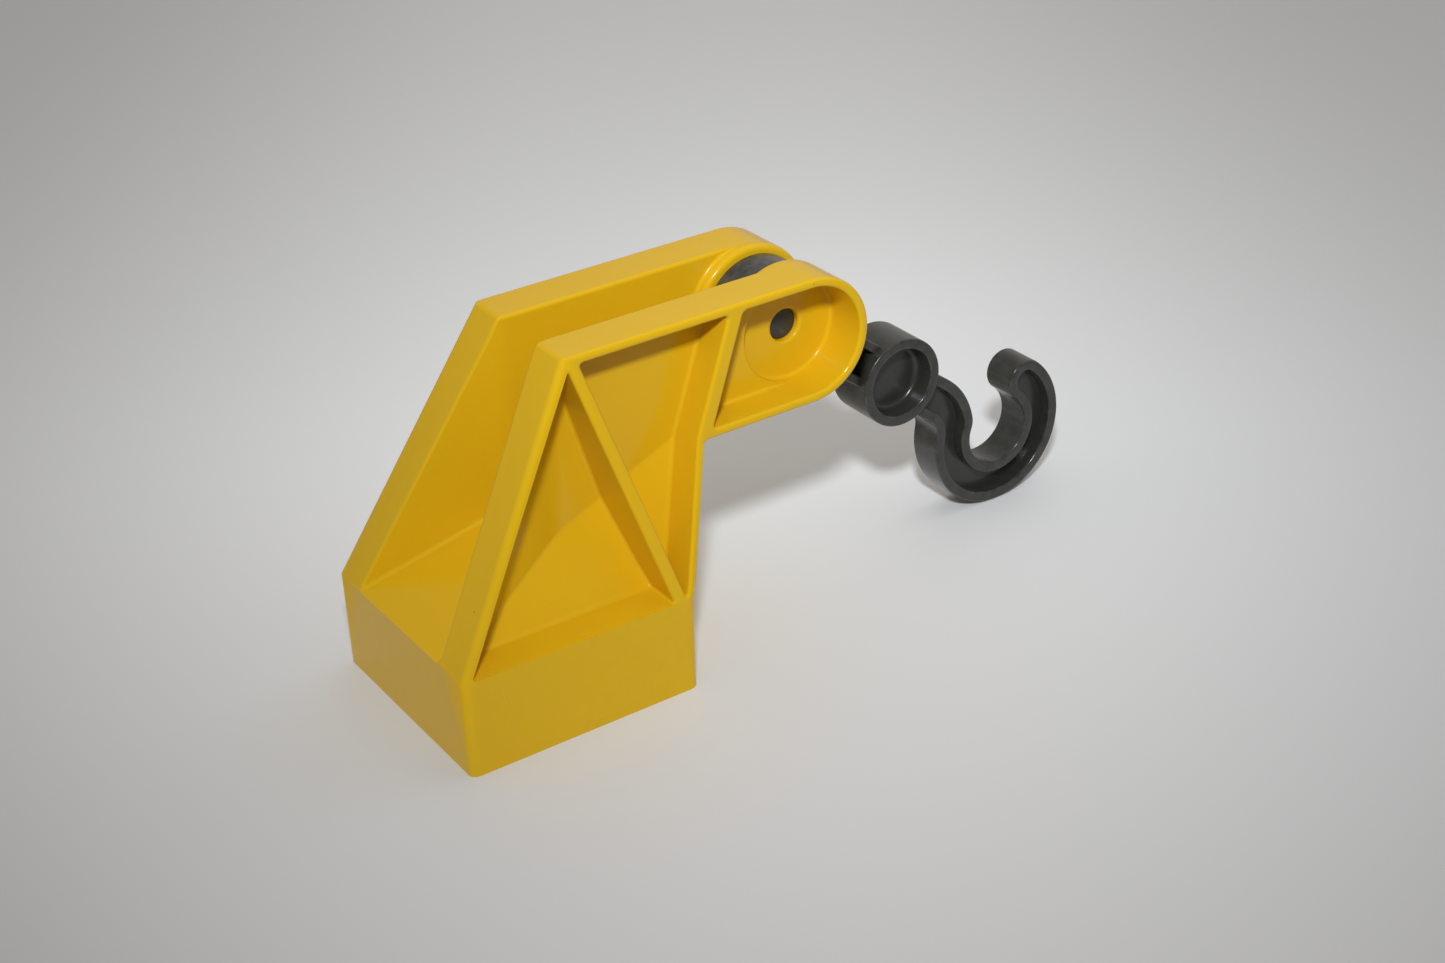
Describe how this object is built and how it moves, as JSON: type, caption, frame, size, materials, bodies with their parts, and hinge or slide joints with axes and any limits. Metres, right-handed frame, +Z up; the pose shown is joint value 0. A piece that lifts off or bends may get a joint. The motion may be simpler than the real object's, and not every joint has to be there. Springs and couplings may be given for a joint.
{
  "type": "toy crane jib",
  "caption": "Toy crane jib: hollow building-block base, leaning truss frame with open side plates, and a grey channelled hook arm that swings on a pin between the plates.",
  "frame": {"origin": "middle of the base block's underside, on the surface that it stands on", "axes": "+X along the jib towards the hook, +Z up, so -Y is the side seen in the picture"},
  "size_m": [0.1008, 0.0318, 0.0459],
  "materials": {
    "yellow_plastic": "glossy moulded warm yellow",
    "grey_plastic": "semi-gloss moulded dark warm grey"
  },
  "bodies": {
    "frame": {"jib_frame": "yellow_plastic", "axle_pin": "grey_plastic"},
    "arm": {"hook_arm": "grey_plastic"}
  },
  "joints": [
    {"name": "hook_swing", "type": "hinge", "parent": "frame", "child": "arm", "pos_m": [0.0381, 0, 0.0377], "axis": [0, -1, 0], "range_deg": [-68, 225]}
  ]
}
